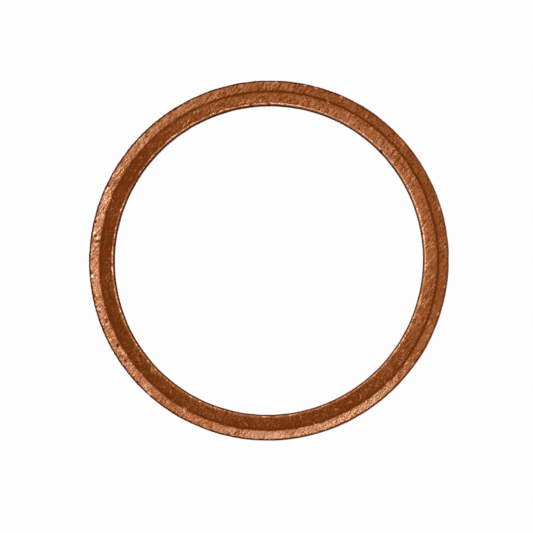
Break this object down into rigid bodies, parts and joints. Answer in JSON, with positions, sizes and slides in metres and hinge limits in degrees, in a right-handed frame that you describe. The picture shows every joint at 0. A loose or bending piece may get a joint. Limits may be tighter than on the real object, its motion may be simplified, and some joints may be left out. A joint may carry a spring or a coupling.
{
  "type": "sealing ring",
  "caption": "Flat round copper sealing ring pressed from sheet, with a shallow V groove round its upper face and a rounded ridge round its underside.",
  "frame": {"origin": "centre of the ring, on the plane that its underside rests on", "axes": "+Z along the axis of the bore, out of the grooved face; the ring is round, so +X and +Y are any two radii"},
  "size_m": [0.049, 0.049, 0.0015],
  "materials": {
    "copper": "bare copper, dulled and browned, with a straight rolled grain and fine scratches across the whole ring"
  },
  "bodies": {
    "root": {"sealing_ring": "copper"}
  },
  "joints": []
}
